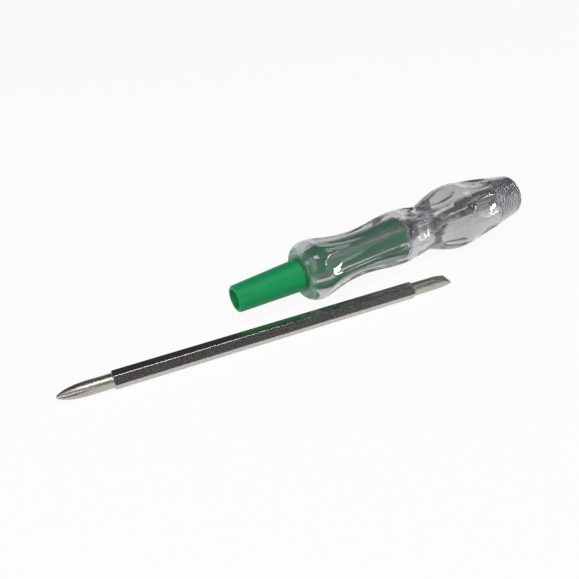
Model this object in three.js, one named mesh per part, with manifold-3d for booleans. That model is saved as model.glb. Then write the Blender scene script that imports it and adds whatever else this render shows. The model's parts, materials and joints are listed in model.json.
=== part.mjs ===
// Voltage tester screwdriver: a clear fluted grip on a green insulating sleeve, the neon lamp
// train inside it, and the reversible hexagon blade, drawn out and lying beside the grip.
// Millimetres. The grip runs along +X from the sleeve's mouth to the end cap, +Z is up, and
// the whole set lies on z = 0 with its middle over the origin.
import * as THREE from "three";
import { mergeVertices } from "three/addons/utils/BufferGeometryUtils.js";
import Module from "manifold-3d";

const wasm = await Module();
wasm.setup();

// Clearances between neighbours
const seatGap = 0.3; // faces that press on each other
const slideGap = 0.35; // round parts that slide or turn in a bore
const socketGap = 0.15; // each flat of the blade in its socket
const trimGap = 0.15; // small parts crimped or sealed together
const overrun = 2; // how far a cutting shape runs past what it cuts

// Reversible blade: hexagon bar with a turned shank at each end
const hexAcrossFlats = 5;
const hexCornerRadius = 0.35;
const bladeLength = 128.6;
const crossShankLength = 15.4;
const slotShankLength = 14.1;
const shankRadius = 2.2;
const shoulderLength = 0.7;
const shoulderRadius = 2.42;

// Cross point
const crossEndRadius = 0.42;
const crossConeLength = 3.6;
const crossConeRadius = 1.82;
const crossTaperLength = 9.4;
const crossFluteLength = 10.8;
const crossCoreRadius = 0.34;
const crossFluteAngle = THREE.MathUtils.degToRad(92);
const crossTurn = THREE.MathUtils.degToRad(60); // two flutes square to flats of the hexagon

// Slotted point
const slotEdgeThickness = 0.8;
const slotFlatLength = 7;

// Green sleeve: tapered nose, collar, and the socket tube inside the grip
const noseLength = 22.2;
const noseMouthRadius = 4.45;
const noseBaseRadius = 5.35;
const noseLipRadius = 0.45;
const noseBeadHeight = 0.16;
const noseBeadLength = 0.7;
const noseGrooveLength = 0.4;
const noseGrooveDepth = 0.25;
const collarRadius = 6.65;
const collarThickness = 1.5;
const collarRounding = 0.4;
const sleeveRadius = 5.2;
const sleeveChamfer = 0.4;
const mouthBoreRadius = 3.4;
const mouthBoreDepth = 23;
const mouthBoreFlare = 0.3;

// Clear grip
const gripLength = 94.6;
const gripFaceRadius = 7.4;
const guardRadius = 10.2;
const waistRadius = 7.82;
const middleRadius = 9.48;
const neckRadius = 8.23;
const palmRadius = 11.87;
const rearRadius = 7.8;
const rearEdgeRadius = 1;
const flutes = 6;

// Lamp chamber: the grip's bore between the sleeve's end and the end cap
const chamberLength = 42.5;
const trainBoreRadius = 3.35;

// End cap: a threaded plug with a crowned and slotted face
const capThreadRadius = 5.3;
const capBoreDepth = 10.9;
const capProud = 0.5;
const capCrown = 0.45;
const capFaceRadius = 4.6;
const capSlotWidth = 1.2;
const capSlotDepth = 0.8;
const capThreadChamfer = 0.6;
const springSeatRadius = 2.75;
const springSeatDepth = 2.2;

// Lamp train, from the blade's contact to the spring
const cupLength = 5.4;
const cupFloor = 1.2;
const cupWall = 0.45;
const cupRounding = 0.4;
const resistorLength = 16.4;
const resistorRadius = 1.65;
const resistorCapLength = 2.4;
const resistorCapWall = 0.25;
const lampLength = 8.6;
const lampRadius = 2.1;
const lampWall = 0.3;
const lampDomeLength = 1.7;
const stemLength = 1.6;
const electrodeLength = 5;
const electrodeRadius = 0.32;
const electrodeSpacing = 1.5;
const leadRadius = 0.16;
const leadTailLength = 1;
const discThickness = 0.8;
const discBossRadius = 1.4;
const discBossLength = 1;
const springRadius = 1.95;
const springWireRadius = 0.225;
const springPitch = 1.75;

// How the blade lies beside the grip
const bladeAngle = THREE.MathUtils.degToRad(6.8);
const bladeAhead = 58; // cross point's end, ahead of the sleeve's mouth
const besideGap = 2.7; // between the blade and the guard

// Places along the grip's axis, from the sleeve's mouth
const gripFront = noseLength + collarThickness + seatGap;
const gripEnd = gripFront + gripLength;
const capBoreRadius = capThreadRadius + seatGap;
const capBoreStart = gripEnd - capBoreDepth;
const trainRadius = trainBoreRadius - slideGap;
const sleeveBoreRadius = sleeveRadius + seatGap;
const sleeveBoreEnd = capBoreStart - chamberLength;
const sleeveLength = sleeveBoreEnd - seatGap; // from the nose's mouth to the socket's end

// Facets
const largeFacets = 48;
const smallFacets = 24;
const wireSides = 8;
const springSides = 5;
const springStepsPerTurn = 8;
const ringSpacing = 1.9;

const blend = (from, to, share) => from + (to - from) * share;

// A solid turned about the X axis. The profile is a list of [x, radius] that starts on the
// axis at the front, runs over the outside and comes back to the axis.
function turned(profile, facets = smallFacets) {
  const points = profile.map(([x, radius]) => new THREE.Vector2(radius, x));
  return new THREE.LatheGeometry(points, facets).rotateZ(-Math.PI / 2);
}

// A shape drawn across the axis, extruded along +X.
function bar(shape, from, to, curveSegments = 2) {
  const settings = { depth: to - from, bevelEnabled: false, curveSegments };
  const alongX = new THREE.Matrix4().makeBasis(
    new THREE.Vector3(0, 1, 0),
    new THREE.Vector3(0, 0, 1),
    new THREE.Vector3(1, 0, 0),
  );
  return new THREE.ExtrudeGeometry(shape, settings)
    .applyMatrix4(alongX)
    .translate(from, 0, 0);
}

function toSolid(geometry) {
  const bare = geometry.clone();
  bare.deleteAttribute("normal");
  bare.deleteAttribute("uv");
  const merged = mergeVertices(bare);
  const mesh = new wasm.Mesh({
    numProp: 3,
    vertProperties: new Float32Array(merged.attributes.position.array),
    triVerts: new Uint32Array(merged.index.array),
  });
  return new wasm.Manifold(mesh);
}

function fromSolid(solid) {
  const mesh = solid.getMesh();
  const geometry = new THREE.BufferGeometry();
  const positions = new THREE.BufferAttribute(mesh.vertProperties, mesh.numProp);
  geometry.setAttribute("position", positions);
  geometry.setIndex(new THREE.BufferAttribute(mesh.triVerts, 1));
  return flatShaded(geometry);
}

function flatShaded(geometry) {
  const flat = geometry.toNonIndexed();
  flat.computeVertexNormals();
  return flat;
}

// A closed skin over rings of equally many points. With closed true the last ring joins the
// first, as on a tube with a bore; otherwise both end rings are filled.
function skin(rings, closed) {
  const columns = rings[0].length;
  const positions = rings.flat().flatMap((point) => point.toArray());
  const triangles = [];
  const corner = (ring, column) => (ring % rings.length) * columns + (column % columns);
  const lastRing = closed ? rings.length : rings.length - 1;
  for (let ring = 0; ring < lastRing; ring++) {
    for (let column = 0; column < columns; column++) {
      const near = corner(ring, column);
      const nearNext = corner(ring, column + 1);
      const far = corner(ring + 1, column);
      const farNext = corner(ring + 1, column + 1);
      triangles.push(near, nearNext, farNext, near, farNext, far);
    }
  }
  if (!closed) {
    for (let column = 1; column < columns - 1; column++) {
      triangles.push(corner(0, 0), corner(0, column + 1), corner(0, column));
      const end = rings.length - 1;
      triangles.push(corner(end, 0), corner(end, column), corner(end, column + 1));
    }
  }
  const geometry = new THREE.BufferGeometry();
  geometry.setAttribute("position", new THREE.Float32BufferAttribute(positions, 3));
  geometry.setIndex(triangles);
  return flatShaded(geometry);
}

// A round wire through a list of points, its section turned as little as possible.
function wire(points, radius, sides) {
  const rings = [];
  let across = null;
  points.forEach((point, index) => {
    const before = points[Math.max(index - 1, 0)];
    const after = points[Math.min(index + 1, points.length - 1)];
    const along = after.clone().sub(before).normalize();
    across ??= new THREE.Vector3(-along.y, along.x, along.z).cross(along);
    across = across.clone().addScaledVector(along, -across.dot(along)).normalize();
    const third = along.clone().cross(across);
    const ring = [];
    for (let side = 0; side < sides; side++) {
      const angle = (side / sides) * 2 * Math.PI;
      ring.push(
        point
          .clone()
          .addScaledVector(across, radius * Math.cos(angle))
          .addScaledVector(third, radius * Math.sin(angle)),
      );
    }
    rings.push(ring);
  });
  return skin(rings, false);
}

function piece(name, geometry, finish) {
  const mesh = new THREE.Mesh(geometry, new THREE.MeshStandardMaterial(finish));
  mesh.name = name;
  return mesh;
}

const nickel = { color: 0xb9b8b2, roughness: 0.18, metalness: 1 };
const brass = { color: 0xc9a961, roughness: 0.3, metalness: 1 };

// Hexagon with a flat on top and underneath, its corners rounded
function hexagon(acrossFlats, cornerRadius) {
  const shape = new THREE.Shape();
  const cornerDistance = (acrossFlats / 2 - cornerRadius) / Math.cos(Math.PI / 6);
  for (let corner = 0; corner < 6; corner++) {
    const angle = (corner * Math.PI) / 3;
    shape.absarc(
      cornerDistance * Math.cos(angle),
      cornerDistance * Math.sin(angle),
      cornerRadius,
      angle - Math.PI / 6,
      angle + Math.PI / 6,
    );
  }
  return shape;
}

// Blade: one forged bar, cross point at the front and slotted point at the rear
function blade() {
  const hexStart = crossShankLength;
  const hexEnd = bladeLength - slotShankLength;
  const barRadius = hexAcrossFlats;
  const shoulders = turned(
    [
      [hexStart, 0],
      [hexStart, shoulderRadius],
      [hexStart + shoulderLength, shoulderRadius + shoulderLength],
      [hexStart + shoulderLength, barRadius],
      [hexEnd - shoulderLength, barRadius],
      [hexEnd - shoulderLength, shoulderRadius + shoulderLength],
      [hexEnd, shoulderRadius],
      [hexEnd, 0],
    ],
    largeFacets,
  );
  const hexBar = toSolid(bar(hexagon(hexAcrossFlats, hexCornerRadius), hexStart, hexEnd));
  return fromSolid(
    hexBar.intersect(toSolid(shoulders)).add(crossPoint()).add(slottedPoint(hexEnd)),
  );
}

// Cross point: a two-stage cone with four V flutes that run out on the shank
function crossPoint() {
  let point = toSolid(
    turned([
      [0, 0],
      [0, crossEndRadius],
      [crossConeLength, crossConeRadius],
      [crossTaperLength, shankRadius],
      [crossShankLength + overrun, shankRadius],
      [crossShankLength + overrun, 0],
    ]),
  );
  const rise = Math.atan2(shankRadius - crossCoreRadius, crossFluteLength);
  const reach = crossFluteLength + overrun;
  const opening = shankRadius * Math.tan(crossFluteAngle / 2);
  const vee = new THREE.Shape([
    new THREE.Vector2(0, 0),
    new THREE.Vector2(opening, shankRadius),
    new THREE.Vector2(opening, shankRadius + overrun),
    new THREE.Vector2(-opening, shankRadius + overrun),
    new THREE.Vector2(-opening, shankRadius),
  ]);
  for (let side = 0; side < 4; side++) {
    const cutter = bar(vee, -overrun, reach)
      .rotateY(-rise)
      .translate(0, 0, crossCoreRadius)
      .rotateX(crossTurn + (side * Math.PI) / 2);
    point = point.subtract(toSolid(cutter));
  }
  return point;
}

// Slotted point: the round shank ground to two flats that meet in a straight edge
function slottedPoint(hexEnd) {
  const shank = toSolid(
    turned([
      [hexEnd - overrun, 0],
      [hexEnd - overrun, shankRadius],
      [bladeLength, shankRadius],
      [bladeLength, 0],
    ]),
  );
  const flatStart = bladeLength - slotFlatLength;
  const slope = (shankRadius - slotEdgeThickness / 2) / slotFlatLength;
  const wedge = new THREE.Shape([
    new THREE.Vector2(flatStart - overrun, shankRadius + overrun * slope),
    new THREE.Vector2(bladeLength + overrun, slotEdgeThickness / 2 - overrun * slope),
    new THREE.Vector2(bladeLength + overrun, shankRadius + overrun),
    new THREE.Vector2(flatStart - overrun, shankRadius + overrun),
  ]);
  const width = 2 * (shankRadius + overrun);
  const grind = new THREE.ExtrudeGeometry(wedge, { depth: width, bevelEnabled: false })
    .rotateX(Math.PI / 2)
    .translate(0, width / 2, 0);
  const top = toSolid(grind);
  const bottom = toSolid(grind.clone().rotateX(Math.PI));
  return shank.subtract(top).subtract(bottom);
}

// Green sleeve, moulded in one: nose, collar and socket tube
function insulatingSleeve() {
  const grooveStart = noseLength - noseGrooveLength;
  const beadStart = grooveStart - noseBeadLength;
  const collarEnd = noseLength + collarThickness;
  const outside = turned(
    [
      [0, 0],
      [0, noseMouthRadius - noseLipRadius],
      [noseLipRadius * 0.3, noseMouthRadius - noseLipRadius * 0.3],
      [noseLipRadius, noseMouthRadius],
      [beadStart - noseBeadLength, noseBaseRadius],
      [beadStart, noseBaseRadius + noseBeadHeight],
      [grooveStart - noseGrooveDepth, noseBaseRadius + noseBeadHeight],
      [grooveStart, noseBaseRadius - noseGrooveDepth],
      [noseLength, noseBaseRadius - noseGrooveDepth],
      [noseLength, collarRadius - collarRounding],
      [noseLength + collarRounding * 0.3, collarRadius - collarRounding * 0.3],
      [noseLength + collarRounding, collarRadius],
      [collarEnd, collarRadius],
      [collarEnd, sleeveRadius],
      [sleeveLength - sleeveChamfer, sleeveRadius],
      [sleeveLength, sleeveRadius - sleeveChamfer],
      [sleeveLength, 0],
    ],
    largeFacets,
  );
  const mouthBore = turned(
    [
      [-overrun, 0],
      [-overrun, mouthBoreRadius + mouthBoreFlare],
      [0, mouthBoreRadius + mouthBoreFlare],
      [mouthBoreFlare, mouthBoreRadius],
      [mouthBoreDepth, mouthBoreRadius],
      [mouthBoreDepth + mouthBoreRadius - hexAcrossFlats / 2, hexAcrossFlats / 2],
      [mouthBoreDepth + mouthBoreRadius - hexAcrossFlats / 2, 0],
    ],
    largeFacets,
  );
  const socket = bar(
    hexagon(hexAcrossFlats + 2 * socketGap, hexCornerRadius),
    mouthBoreDepth - overrun,
    sleeveLength + overrun,
  );
  return fromSolid(toSolid(outside).subtract(toSolid(mouthBore)).subtract(toSolid(socket)));
}

// Outline of the clear grip over its ridges: a round-nosed guard, a waist, a middle swell, a
// neck and the palm swell that tapers to the rear
const guardPlaceShare = 0.048;
const palmPlaceShare = 0.706;
const rearPlace = gripLength - rearEdgeRadius;

function gripOutline() {
  const guardPlace = guardPlaceShare * gripLength;
  const quarterTurnShares = [0, 0.2, 0.45, 0.72];
  const front = quarterTurnShares.map((share) => {
    const angle = (share * Math.PI) / 2;
    return [
      guardPlace * (1 - Math.cos(angle)),
      blend(gripFaceRadius, guardRadius, Math.sin(angle)),
    ];
  });
  const lengthShares = [
    [guardPlaceShare, guardRadius],
    [0.086, blend(guardRadius, waistRadius, 0.14)],
    [0.131, blend(guardRadius, waistRadius, 0.54)],
    [0.181, blend(guardRadius, waistRadius, 0.87)],
    [0.244, waistRadius],
    [0.313, blend(waistRadius, middleRadius, 0.36)],
    [0.364, blend(waistRadius, middleRadius, 0.77)],
    [0.422, middleRadius],
    [0.481, blend(middleRadius, neckRadius, 0.23)],
    [0.513, blend(middleRadius, neckRadius, 0.72)],
    [0.54, neckRadius],
    [0.573, blend(neckRadius, palmRadius, 0.2)],
    [0.618, blend(neckRadius, palmRadius, 0.61)],
    [0.662, blend(neckRadius, palmRadius, 0.9)],
    [palmPlaceShare, palmRadius],
    [0.752, blend(palmRadius, rearRadius, 0.09)],
    [0.829, blend(palmRadius, rearRadius, 0.35)],
    [0.915, blend(palmRadius, rearRadius, 0.68)],
  ];
  const body = lengthShares.map(([share, radius]) => [share * gripLength, radius]);
  const rear = [
    [rearPlace, rearRadius],
    [gripLength - rearEdgeRadius * 0.5, rearRadius - rearEdgeRadius * 0.14],
    [gripLength - rearEdgeRadius * 0.14, rearRadius - rearEdgeRadius * 0.5],
    [gripLength, rearRadius - rearEdgeRadius],
  ];
  return [...front, ...body, ...rear];
}

// The four sets of moulded flutes: where each starts and ends as shares of the grip's length,
// the share of its sixth that it spans, its depth as a share of the palm's radius, and how
// blunt its ends are
const fluteSetShares = [
  { from: 0.052, to: 0.417, span: 0.8, depth: 0.097, blunt: 8 },
  { from: 0.434, to: 0.539, span: 0.72, depth: 0.063, blunt: 4 },
  { from: 0.564, to: 0.693, span: 0.66, depth: 0.072, blunt: 2.4 },
  { from: 0.715, to: 0.89, span: 0.68, depth: 0.084, blunt: 3 },
];

// How much the flutes take off the outline at a place along the grip and a share of a sixth
function fluteCut(place, sixthShare) {
  const along = place / gripLength;
  const fromMiddle = Math.abs(2 * sixthShare - 1);
  let cut = 0;
  for (const { from, to, span, depth, blunt } of fluteSetShares) {
    const middle = Math.abs((2 * (along - from)) / (to - from) - 1);
    const left = 1 - middle ** blunt - (fromMiddle / span) ** 2;
    cut = Math.max(cut, depth * palmRadius * left);
  }
  return cut;
}

// Clear grip, with stepped bores for the sleeve, the lamp train and the end cap
function handleShell() {
  const sixthShares = [0, 0.1, 0.22, 0.36, 0.5, 0.64, 0.78, 0.9];
  const columns = [];
  for (let sixth = 0; sixth < flutes; sixth++) {
    for (const share of sixthShares) columns.push({ sixth, share });
  }
  const ringAt = (place, radiusAt) =>
    columns.map(({ sixth, share }) => {
      const angle = ((sixth + share) / flutes) * 2 * Math.PI;
      const radius = radiusAt(share);
      return new THREE.Vector3(
        gripFront + place,
        radius * Math.cos(angle),
        radius * Math.sin(angle),
      );
    });

  const outline = gripOutline();
  const curve = new THREE.CatmullRomCurve3(
    outline.map(([place, radius]) => new THREE.Vector3(place, radius, 0)),
    false,
    "centripetal",
  );
  const rings = [];
  const spans = outline.length - 1;
  for (let span = 0; span < spans; span++) {
    const steps = Math.ceil((outline[span + 1][0] - outline[span][0]) / ringSpacing);
    for (let step = 0; step < steps; step++) {
      const point = curve.getPoint((span + step / steps) / spans);
      rings.push(ringAt(point.x, (share) => point.y - fluteCut(point.x, share)));
    }
  }
  const [endPlace, endRadius] = outline.at(-1);
  rings.push(ringAt(endPlace, () => endRadius));

  const bores = [
    [gripEnd, capBoreRadius],
    [capBoreStart, capBoreRadius],
    [capBoreStart, trainBoreRadius],
    [sleeveBoreEnd, trainBoreRadius],
    [sleeveBoreEnd, sleeveBoreRadius],
    [gripFront, sleeveBoreRadius],
  ];
  for (const [x, radius] of bores) rings.push(ringAt(x - gripFront, () => radius));
  return skin(rings, true);
}

// Lamp train: each part's front face, from the sleeve's end back to the cap
const cupFront = sleeveBoreEnd;
const resistorFront = cupFront + cupFloor + trimGap;
const resistorEnd = resistorFront + resistorLength;
const lampFront = resistorEnd + 2 * (trimGap + leadRadius);
const lampEnd = lampFront + lampLength;
const discFront = lampEnd + leadTailLength + seatGap;
const discEnd = discFront + discThickness;
const springFront = discEnd + seatGap;
const capFront = capBoreStart + seatGap;
const springEnd = capFront + springSeatDepth - seatGap;

// Nickel-plated cup that the blade's end presses on; the resistor stands in it
function contactCup() {
  const end = cupFront + cupLength;
  const inside = trainRadius - cupWall;
  return turned([
    [cupFront, 0],
    [cupFront, trainRadius - cupRounding],
    [cupFront + cupRounding, trainRadius],
    [end, trainRadius],
    [end, inside],
    [cupFront + cupFloor, inside],
    [cupFront + cupFloor, 0],
  ]);
}

// Resistor rod between two pressed caps
function resistorBody() {
  const inset = resistorCapWall + trimGap;
  const rounding = resistorCapWall;
  const start = resistorFront + inset;
  const end = resistorEnd - inset;
  return turned([
    [start, 0],
    [start, resistorRadius - rounding],
    [start + rounding, resistorRadius],
    [end - rounding, resistorRadius],
    [end, resistorRadius - rounding],
    [end, 0],
  ]);
}

function resistorCap(closedEnd, direction) {
  const inside = resistorRadius + trimGap;
  const outside = inside + resistorCapWall;
  const profile = [
    [0, 0],
    [0, outside - resistorCapWall],
    [resistorCapWall, outside],
    [resistorCapLength, outside],
    [resistorCapLength, inside],
    [resistorCapWall, inside],
    [resistorCapWall, 0],
  ];
  const geometry = turned(profile);
  if (direction < 0) geometry.rotateZ(Math.PI);
  return geometry.translate(closedEnd, 0, 0);
}

// Neon lamp: a glass bulb with a domed nose, the glass stem that closes it, two electrodes and
// two leads, one folded forward along the bulb and one bent over behind it
function lampGlass() {
  const inside = lampRadius - lampWall;
  const dome = (radius, length, front) =>
    [0, 0.25, 0.5, 0.75].map((share) => {
      const angle = (share * Math.PI) / 2;
      return [front + length * (1 - Math.cos(angle)), radius * Math.sin(angle)];
    });
  const innerFront = lampFront + lampWall;
  const innerDome = lampDomeLength - lampWall;
  return turned([
    ...dome(lampRadius, lampDomeLength, lampFront),
    [lampFront + lampDomeLength, lampRadius],
    [lampEnd, lampRadius],
    [lampEnd, inside],
    [lampFront + lampDomeLength, inside],
    ...dome(inside, innerDome, innerFront).reverse(),
  ]);
}

function lampStem() {
  const radius = lampRadius - lampWall - trimGap;
  const start = lampEnd - stemLength;
  return turned([
    [start, 0],
    [start, radius - trimGap],
    [start + trimGap, radius],
    [lampEnd, radius],
    [lampEnd, 0],
  ]);
}

function lampElectrode(side) {
  const end = lampEnd - stemLength - trimGap;
  const start = end - electrodeLength;
  const rounding = electrodeRadius;
  return turned(
    [
      [start, 0],
      [start + rounding * 0.3, electrodeRadius * 0.7],
      [start + rounding, electrodeRadius],
      [end, electrodeRadius],
      [end, 0],
    ],
    smallFacets / 2,
  ).translate(0, (side * electrodeSpacing) / 2, 0);
}

function lead(points, steps) {
  const curve = new THREE.CatmullRomCurve3(points, false, "centripetal");
  return wire(curve.getPoints(steps), leadRadius, wireSides);
}

function lampLeadFront() {
  const start = lampEnd + trimGap;
  const beside = lampRadius + trimGap + leadRadius;
  const inner = electrodeSpacing / 2;
  const ahead = lampFront - trimGap - leadRadius;
  const bend = leadTailLength / 2;
  return lead(
    [
      new THREE.Vector3(start, inner, 0),
      new THREE.Vector3(start + bend / 2, inner + bend / 4, 0),
      new THREE.Vector3(start + bend / 2, beside - bend / 2, 0),
      new THREE.Vector3(lampEnd - bend, beside, 0),
      new THREE.Vector3(lampFront + lampDomeLength, beside, 0),
      new THREE.Vector3(ahead + bend / 2, lampRadius - bend / 4, 0),
      new THREE.Vector3(ahead, lampRadius / 2, 0),
      new THREE.Vector3(ahead, 0, 0),
    ],
    24,
  );
}

function lampLeadRear() {
  const start = lampEnd + trimGap;
  const inner = electrodeSpacing / 2;
  const end = discFront - seatGap / 2 - leadRadius;
  return lead(
    [
      new THREE.Vector3(start, -inner, 0),
      new THREE.Vector3(blend(start, end, 0.5), -inner, 0),
      new THREE.Vector3(end, -inner / 3, 0),
      new THREE.Vector3(end, inner, 0),
    ],
    10,
  );
}

// Brass disc that carries the spring's push, with a boss that centres the spring
function pressureDisc() {
  return turned([
    [discFront, 0],
    [discFront, trainRadius],
    [discEnd, trainRadius],
    [discEnd, discBossRadius],
    [discEnd + discBossLength, discBossRadius],
    [discEnd + discBossLength, 0],
  ]);
}

// Compression spring: one helix, its ends straight for a wire's thickness
function pressureSpring() {
  const straight = 2 * springWireRadius;
  const coilStart = springFront + straight;
  const coilLength = springEnd - straight - coilStart;
  const turns = Math.max(2, Math.round(coilLength / springPitch));
  const steps = turns * springStepsPerTurn;
  const points = [new THREE.Vector3(springFront, springRadius, 0)];
  for (let step = 0; step <= steps; step++) {
    const angle = (step / springStepsPerTurn) * 2 * Math.PI;
    points.push(
      new THREE.Vector3(
        coilStart + (coilLength * step) / steps,
        springRadius * Math.cos(angle),
        springRadius * Math.sin(angle),
      ),
    );
  }
  points.push(new THREE.Vector3(springEnd, springRadius, 0));
  const gap = leastGap(points, springStepsPerTurn / 2) - 2 * springWireRadius;
  console.log("least gap between the spring's turns: " + gap.toFixed(2) + " mm");
  return wire(points, springWireRadius, springSides);
}

function leastGap(points, neighbours) {
  let least = Infinity;
  points.forEach((point, index) => {
    for (const other of points.slice(index + neighbours)) {
      least = Math.min(least, point.distanceTo(other));
    }
  });
  return least;
}

// End cap: plug that screws into the grip, hollow in front for the spring, slotted behind
function endCap() {
  const capEnd = gripEnd + capProud;
  const plug = turned(
    [
      [capFront + springSeatDepth, 0],
      [capFront + springSeatDepth, springSeatRadius],
      [capFront, springSeatRadius],
      [capFront, capThreadRadius - capThreadChamfer],
      [capFront + capThreadChamfer, capThreadRadius],
      [capEnd - capCrown, capThreadRadius],
      [capEnd, capFaceRadius],
      [capEnd, 0],
    ],
    largeFacets,
  );
  const slot = new THREE.BoxGeometry(2 * capSlotDepth, 3 * capThreadRadius, capSlotWidth);
  slot.translate(capEnd, 0, 0);
  return fromSolid(toSolid(plug).subtract(toSolid(slot)));
}

const grip = new THREE.Group();
grip.add(
  piece("handle_shell", handleShell(), {
    color: 0xd6dade,
    roughness: 0.06,
    metalness: 0,
    transparent: true,
    opacity: 0.35,
  }),
  piece("insulating_sleeve", insulatingSleeve(), {
    color: 0x12924f,
    roughness: 0.5,
    metalness: 0,
  }),
  piece("contact_cup", contactCup(), nickel),
  piece("resistor_cap_front", resistorCap(resistorFront, 1), nickel),
  piece("resistor_body", resistorBody(), { color: 0xa79c74, roughness: 0.5, metalness: 0 }),
  piece("resistor_cap_rear", resistorCap(resistorEnd, -1), nickel),
  piece("lamp_glass", lampGlass(), {
    color: 0xf4efec,
    roughness: 0.03,
    metalness: 0,
    transparent: true,
    opacity: 0.3,
  }),
  piece("lamp_stem", lampStem(), { color: 0xd9d4cf, roughness: 0.1, metalness: 0 }),
  piece("lamp_electrode_left", lampElectrode(1), {
    color: 0xb4534a,
    roughness: 0.4,
    metalness: 1,
  }),
  piece("lamp_electrode_right", lampElectrode(-1), {
    color: 0xb4534a,
    roughness: 0.4,
    metalness: 1,
  }),
  piece("lamp_lead_front", lampLeadFront(), nickel),
  piece("lamp_lead_rear", lampLeadRear(), nickel),
  piece("pressure_disc", pressureDisc(), brass),
  piece("pressure_spring", pressureSpring(), nickel),
  piece("end_cap", endCap(), nickel),
);

// The grip rests on its guard and its palm swell, so its axis rises to the rear.
const guardPlace = gripFront + guardPlaceShare * gripLength;
const palmPlace = gripFront + palmPlaceShare * gripLength;
const restTilt = Math.atan2(palmRadius - guardRadius, palmPlace - guardPlace);
grip.rotation.y = -restTilt;
grip.position.z = new THREE.Box3().setFromObject(grip, true).min.z * -1;

// The blade lies on one flat, clear of the guard, its slotted end swung away from the grip.
const looseBlade = new THREE.Group();
looseBlade.add(piece("blade", blade(), nickel));
looseBlade.rotation.z = -bladeAngle;
const pastGuard = guardPlace + bladeAhead;
const asideAtGuard = guardRadius + besideGap + hexAcrossFlats / Math.sqrt(3);
looseBlade.position.set(
  -bladeAhead,
  pastGuard * Math.tan(bladeAngle) - asideAtGuard,
  hexAcrossFlats / 2,
);

const pair = new THREE.Group();
pair.add(grip, looseBlade);
const extent = new THREE.Box3().setFromObject(pair, true);
const middle = extent.getCenter(new THREE.Vector3());
pair.position.set(-middle.x, -middle.y, -extent.min.z);

const tester = new THREE.Group();
tester.add(pair);
export default tester;
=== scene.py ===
import json
import math
import random

import bpy
from mathutils import Matrix, Vector


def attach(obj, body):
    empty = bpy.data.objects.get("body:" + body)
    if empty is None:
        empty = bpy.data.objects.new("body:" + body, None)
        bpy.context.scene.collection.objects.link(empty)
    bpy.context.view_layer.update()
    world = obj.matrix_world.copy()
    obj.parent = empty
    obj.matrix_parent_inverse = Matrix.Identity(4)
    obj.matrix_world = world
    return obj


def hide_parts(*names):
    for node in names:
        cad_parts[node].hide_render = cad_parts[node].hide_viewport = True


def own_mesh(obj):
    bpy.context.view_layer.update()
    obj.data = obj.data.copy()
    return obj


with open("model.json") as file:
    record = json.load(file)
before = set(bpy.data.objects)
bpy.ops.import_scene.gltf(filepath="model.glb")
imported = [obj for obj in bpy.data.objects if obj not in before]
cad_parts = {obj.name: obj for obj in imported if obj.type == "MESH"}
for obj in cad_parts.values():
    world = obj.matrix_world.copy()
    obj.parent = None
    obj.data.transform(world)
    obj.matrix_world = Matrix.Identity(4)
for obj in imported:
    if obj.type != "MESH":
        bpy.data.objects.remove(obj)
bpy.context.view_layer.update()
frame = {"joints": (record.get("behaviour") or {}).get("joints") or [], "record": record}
mm = 0.001


# Camera. It stood low and close by the blade's cross point, so the set runs away from it
# to the upper right, and it was held slightly out of level.
camera_place = Vector((-94.81, -142.66, 117.19)) * mm
camera_heading = math.radians(60.42)
camera_pitch = math.radians(33.19)
camera_roll = math.radians(-2.79)
camera_lens = 38.55
nearest_seen = 10 * mm
farthest_seen = 50

camera = bpy.data.objects.new("camera", bpy.data.cameras.new("camera"))
camera.data.lens = camera_lens
camera.data.clip_start = nearest_seen
camera.data.clip_end = farthest_seen
facing = Matrix.Rotation(camera_heading - math.pi / 2, 4, "Z")
pitched = Matrix.Rotation(math.pi / 2 - camera_pitch, 4, "X")
rolled = Matrix.Rotation(camera_roll, 4, "Z")
camera.matrix_world = Matrix.Translation(camera_place) @ facing @ pitched @ rolled
bpy.context.scene.collection.objects.link(camera)
bpy.context.scene.camera = camera
bpy.context.scene.view_settings.view_transform = "Standard"


# Table: a wide sheet of white paper. It looks white to the eye, in reflections and through
# the clear plastic, and still takes the soft shadow of what lies on it.
paper_size = 8.0
paper_glow_share = 0.93
paper_tone = (0.82, 0.82, 0.82, 1)
under_all = -0.02 * mm


def shader_node(tree, kind, inputs, output=0, **settings):
    """Adds a shader node with its settings, fills its inputs with plain values or with other
    nodes' outputs, and gives the output that is asked for."""
    node = tree.nodes.new(kind)
    for setting, value in settings.items():
        setattr(node, setting, value)
    for socket, source in inputs.items():
        if isinstance(source, bpy.types.NodeSocket):
            tree.links.new(source, node.inputs[socket])
        else:
            node.inputs[socket].default_value = source
    return node.outputs[output]


def maths(tree, operation, first, second):
    """The result of a maths node."""
    return shader_node(tree, "ShaderNodeMath", {0: first, 1: second}, operation=operation)


paper = bpy.data.materials.new("white paper")
paper.use_nodes = True
paper_tree = paper.node_tree
paper_tree.nodes.clear()
paper_ray = paper_tree.nodes.new("ShaderNodeLightPath").outputs
seen = paper_ray["Is Camera Ray"]
for ray in ("Is Glossy Ray", "Is Transmission Ray"):
    seen = maths(paper_tree, "MAXIMUM", seen, paper_ray[ray])
glow = maths(paper_tree, "MULTIPLY", seen, paper_glow_share)
paper_matt = shader_node(paper_tree, "ShaderNodeBsdfDiffuse", {"Color": paper_tone})
paper_white = shader_node(paper_tree, "ShaderNodeEmission", {})
paper_sides = {"Fac": glow, 1: paper_matt, 2: paper_white}
paper_mix = shader_node(paper_tree, "ShaderNodeMixShader", paper_sides)
paper_output = paper_tree.nodes.new("ShaderNodeOutputMaterial")
paper_tree.links.new(paper_mix, paper_output.inputs["Surface"])

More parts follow.
